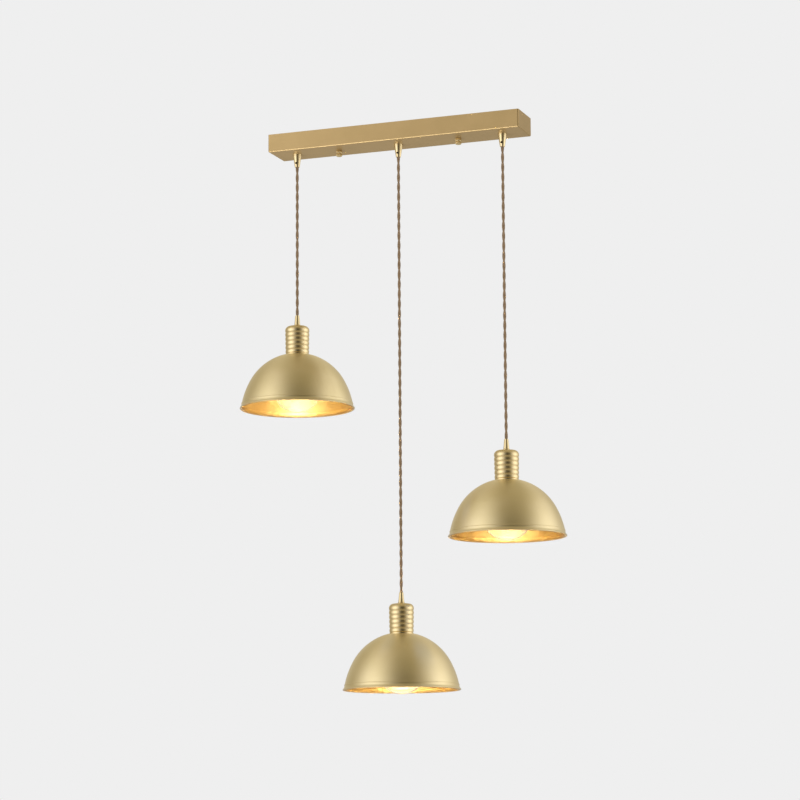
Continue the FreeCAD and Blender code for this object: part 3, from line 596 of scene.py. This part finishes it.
for side in SIDES:
    x = lamp_x[side]
    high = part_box(f"bulb_filament_{side}")[1]
    stem_end = high.z - STEM_LENGTH
    stem = turned(f"bulb_stem_{side}", [
        (0.6 * MM, stem_end), (2.0 * MM, stem_end + 0.6 * MM), (2.2 * MM, stem_end + 3 * MM),
        (2.6 * MM, stem_end + 20 * MM), (3.4 * MM, high.z - 9 * MM), (5.0 * MM, high.z - 6 * MM),
        (8.6 * MM, high.z - 3.6 * MM), (10.6 * MM, high.z - 2.4 * MM), (10.9 * MM, high.z - 0.4 * MM),
        (9.0 * MM, high.z - 0.1 * MM)], x, STEM_SIDES)
    stem.data.materials.append(stem_glass)
    ring_z = stem_end - 1.0 * MM
    foot_z = ring_z - STICK_LENGTH + 1.5 * MM
    sticks, supports = [], []
    for index in range(STICKS):
        angle = 2 * math.pi * (index + 0.5) / STICKS
        cosine, sine = math.cos(angle), math.sin(angle)
        upper = Vector((x + TOP_RING * cosine, TOP_RING * sine, ring_z))
        lower = Vector((x + LOW_RING * cosine, LOW_RING * sine, foot_z))
        sticks.append([upper.lerp(lower, share) for share in STICK_SHARES])
        supports.append([Vector((x, 0, ring_z + 2 * MM)), upper, upper.lerp(lower, UPPER_HOLD)])
        supports.append([upper.lerp(lower, LOWER_HOLD), lower, Vector((x, 0, foot_z - WIRE_TAIL))])
    supports.append([Vector((x, 0, stem_end + MM)), Vector((x, 0, foot_z - WIRE_TAIL))])
    glowing = wires(f"bulb_sticks_{side}", sticks, STICK_RADIUS, STICK_SIDES)
    glowing.data.materials.append(hot)
    holders = wires(f"bulb_wires_{side}", supports, WIRE_RADIUS, WIRE_SIDES)
    holders.data.materials.append(wire_nickel)
    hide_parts(f"bulb_filament_{side}")
    for piece in (stem, glowing, holders):
        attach(piece, f"bulb_{side}")
    print(side, "bulb has", STICKS, "sticks and", len(supports), "wires")

# %% [markdown]
# ## Knurled cap nuts
#
# The two nuts that hold the ceiling box up are turned with two beads, and fine upright teeth are rolled into
# both so that fingers can grip them. Teeth that small can't come from a bump map alone, because they show on
# the outline, so the profile is turned with a ripple.

# %% Cap nuts with rolled teeth
TEETH = 30
SIDES_PER_TOOTH = 8
TOOTH_DEPTH = 0.45 * MM
BEAD_DEPTH = 1.5 * MM
BEAD_ROWS = 13
END_RADIUS = 0.3 * MM


def bead_profile(low, high, radius):
    """Two rounded beads, as radius and height, with a groove between them."""
    half = (high - low) / 2
    rows = [(END_RADIUS, low)]
    for bead in range(2):
        for share in np.linspace(0, 1, BEAD_ROWS):
            bulge = (1 - abs(2 * share - 1) ** 4) ** 0.5
            rows.append((radius - BEAD_DEPTH * (1 - bulge), low + (bead + share) * half))
    rows.append((END_RADIUS, high))
    return rows


def tooth(row, angle):
    """How deep the teeth cut into a row of the profile: deepest where a bead bulges, and none at its ends."""
    if not 0 < row <= 2 * BEAD_ROWS:
        return 0
    share = (row - 1) % BEAD_ROWS / (BEAD_ROWS - 1)
    return -TOOTH_DEPTH * math.sin(math.pi * share) ** 0.5 * abs(math.sin(TEETH * angle / 2)) ** 0.7


for side in ("left", "right"):
    low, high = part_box(f"cap_nut_{side}")
    profile = bead_profile(low.z, high.z - 0.05 * MM, (high.x - low.x) / 2)
    nut = turned(f"knurled_nut_{side}", profile, joint(f"cap_nut_turn_{side}")["pos_m"][0],
                 TEETH * SIDES_PER_TOOTH, tooth)
    nut.data.materials.append(turned_brass)
    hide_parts(f"cap_nut_{side}")
    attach(nut, f"cap_nut_{side}")
    print(nut.name, len(nut.data.polygons), "faces")

# %% [markdown]
# ## Light
#
# Each bulb's own light comes from a small warm lamp in the middle of its globe, which rides with the bulb.
# It is what turns the inside of each dome gold. It and the sticks light only their own lamp, so that they
# leave no orange specks on the polish of the next one.

# %% Light in the bulbs
GLOW_POWER = 90.0
GLOW_RADIUS = 20 * MM
GLOBE_RADIUS = 47.5 * MM


def reach_of(name, pieces):
    """A collection of the pieces that a light reaches."""
    reach = bpy.data.collections.new(name)
    for piece in pieces:
        reach.objects.link(piece)
    return reach


for side in SIDES:
    own = reach_of(f"lit_by_{side}", [piece for name, piece in nodes.items() if name.endswith(side)]
                   + [bpy.data.objects[f"bulb_{part}_{side}"] for part in ("stem", "wires")])
    glow = bpy.data.lights.new(f"glow_{side}", "POINT")
    glow.energy = GLOW_POWER
    glow.color = linear("#ffe2a8")[:3]
    glow.shadow_soft_size = GLOW_RADIUS
    lamp = bpy.data.objects.new(f"glow_{side}", glow)
    bpy.context.collection.objects.link(lamp)
    lamp.location = (lamp_x[side], 0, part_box(f"bulb_glass_{side}")[0].z + GLOBE_RADIUS)
    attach(lamp, f"bulb_{side}")
    for source in (lamp, bpy.data.objects[f"bulb_sticks_{side}"]):
        source.light_linking.receiver_collection = own

# %% [markdown]
# The three lamps hang close together, and the bright inside of one would show as an orange streak on the
# polish of the next. The photograph has no such streaks. A shallow pan under each bulb hides the inside, and
# only reflections see it: it hides nothing from the camera and stops no light. It is pale outside, and its
# floor is gold inside, so that the polish in the dome still has warm light to mirror.

# %% A pan under each mouth that only reflections see
PAN_RADIUS = 111 * MM
PAN_SIDES = 96
PAN_FLOOR = 0.5 * MM
PAN_GLOW = 0.6
CLEARANCE = 1 * MM
# Both sides of each pan glow. They are painted reflections that only the polish sees: pale outside, and gold
# on the floor inside.
pale_painted_reflection = finish_of("pale_painted_reflection", "#000000", roughness=1.0, Emission_Strength=PAN_GLOW,
                      Emission_Color=linear("#e8e8e8"))[0]
gold_painted_reflection = finish_of("gold_painted_reflection", "#000000", roughness=1.0, Emission_Strength=PAN_GLOW,
                      Emission_Color=linear("#ffc067"))[0]
underside = tuple(range(PAN_SIDES - 1, -1, -1))
wall = [(i, (i + 1) % PAN_SIDES, (i + 1) % PAN_SIDES + PAN_SIDES, i + PAN_SIDES) for i in range(PAN_SIDES)]
inside = tuple(range(2 * PAN_SIDES, 3 * PAN_SIDES))
for side in SIDES:
    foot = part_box(f"bulb_glass_{side}")[0].z - CLEARANCE
    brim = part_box(f"shade_{side}")[0].z + CLEARANCE
    rims = [(lamp_x[side] + PAN_RADIUS * math.cos(angle), PAN_RADIUS * math.sin(angle), z)
            for z in (foot - PAN_FLOOR, brim, foot)
            for angle in np.linspace(0, 2 * math.pi, PAN_SIDES, endpoint=False)]
    pan = mesh_object(f"mouth_pan_{side}", rims, [underside, *wall, inside], smooth=False)
    pan.data.materials.append(pale_painted_reflection)
    pan.data.materials.append(gold_painted_reflection)
    pan.data.polygons[-1].material_index = 1
    pan.visible_camera = pan.visible_diffuse = pan.visible_transmission = pan.visible_shadow = False
    print(side, "pan from", round(foot, 4), "to", round(brim, 4))

# %% [markdown]
# The floor is pale paper, below the height of a room's ceiling. The metal doesn't mirror it, so that the
# lights below the horizon set the tone of the ceiling box's underside. Two softboxes light nothing but the
# box and its grips: a small one near the left end, for a front that is brighter there, and a low one for the
# bright line along the bent edge.

# %% Floor and softboxes
FLOOR_DROP = 2.4
FLOOR_HALF = 20
corners = [(x * FLOOR_HALF, y * FLOOR_HALF, -FLOOR_DROP) for x, y in ((-1, -1), (1, -1), (1, 1), (-1, 1))]
floor = mesh_object("studio_floor", corners, [(0, 1, 2, 3)], smooth=False)
paper, tree, shader = finish_of("pale_paper", "#e6e9f0", roughness=0.9, Emission_Strength=0.3,
                                Emission_Color=linear("#ffffff"))
roughen(tree, shader, speckle(tree, 2 * MM), 0.85, 0.95)
floor.data.materials.append(paper)
floor.visible_glossy = False
ceiling_box = reach_of("ceiling_box", [piece for name, piece in nodes.items() if name.startswith("canopy_")])


def soft_box(name, place, target, width, height, power):
    """A rectangular white light that looks at a point and lights only the ceiling box and its grips."""
    light = bpy.data.lights.new(name, "AREA")
    light.shape = "RECTANGLE"
    light.size = width
    light.size_y = height
    light.energy = power
    holder = bpy.data.objects.new(name, light)
    bpy.context.collection.objects.link(holder)
    holder.location = place
    holder.rotation_euler = (Vector(target) - Vector(place)).to_track_quat("-Z", "Y").to_euler()
    holder.light_linking.receiver_collection = ceiling_box


soft_box("left_box", place=(-0.75, -0.75, 0.3), target=(-0.2, 0, -0.02), width=0.6, height=0.5, power=0.65)
soft_box("low_box", place=(-0.8, -1.0, -2.0), target=(0, 0, 0), width=2.0, height=0.8, power=44)

# %% [markdown]
# The domes and cups mirror the whole studio, softly. In the photograph they are brightest where they face
# the left and the far right, and darkest in the middle. So the studio has two large soft patches of white
# light at those bearings, a third faint one behind, and a dim warm room. The camera's own side of the room
# is darker still, as behind a black flag. The camera itself sees only the flat pale backdrop.

# %% The studio round the pendant
BACKDROP = "#efefef"
DIM = 0.33
OVERHEAD = 0.2
PATCHES = ((-42, 1.45, 4.8), (108, 1.38, 5.0), (200, 0.3, 2.0))  # bearing, strength, narrowness
FLAG = (25, 0.88, 5.0)  # the same three numbers, and the strength is the share of the dim room it hides

world = bpy.data.worlds.new("studio")
bpy.context.scene.world = world
world.use_nodes = True
tree = world.node_tree
tree.nodes.clear()
toward = add(tree, "TexCoord").outputs["Generated"]


def patch(bearing, strength, narrowness):
    """A soft patch of light at a bearing in degrees, counted from the front towards the right."""
    middle = (math.sin(math.radians(bearing)), -math.cos(math.radians(bearing)), 0)
    near = add(tree, "VectorMath", {"operation": "DOT_PRODUCT"}, i0=toward, i1=middle)
    front = add(tree, "Math", {"operation": "MAXIMUM"}, i0=near.outputs["Value"], i1=0.0)
    soft = add(tree, "Math", {"operation": "POWER"}, i0=front.outputs[0], i1=narrowness)
    return add(tree, "Math", {"operation": "MULTIPLY"}, i0=soft.outputs[0], i1=strength).outputs[0]


height = add(tree, "SeparateXYZ", Vector=toward)
above = add(tree, "Math", {"operation": "MAXIMUM"}, i0=height.outputs["Z"], i1=0.0)
room = add(tree, "Math", {"operation": "MULTIPLY_ADD"}, i0=above.outputs[0], i1=OVERHEAD, i2=DIM)
left_in = add(tree, "Math", {"operation": "SUBTRACT"}, i0=1.0, i1=patch(*FLAG))
dim_room = add(tree, "Math", {"operation": "MULTIPLY"}, i0=room.outputs[0], i1=left_in.outputs[0])
bright = 0.0
for settings in PATCHES:
    bright = add(tree, "Math", {"operation": "ADD"}, i0=patch(*settings), i1=bright).outputs[0]
warm = add(tree, "Background", Color=linear("#ffeec2"), Strength=dim_room.outputs[0])
white = add(tree, "Background", Color=linear("#ffffff"), Strength=bright)
unseen = add(tree, "AddShader", i0=warm.outputs[0], i1=white.outputs[0])
seen = add(tree, "Background", Color=linear(BACKDROP), Strength=1.0)
ray = add(tree, "LightPath")
mix = add(tree, "MixShader", Fac=ray.outputs["Is Camera Ray"], i1=unseen.outputs[0], i2=seen.outputs[0])
add(tree, "OutputWorld", Surface=mix.outputs[0])
bpy.context.scene.view_settings.view_transform = "Standard"
print("studio with", len(PATCHES), "patches of light")
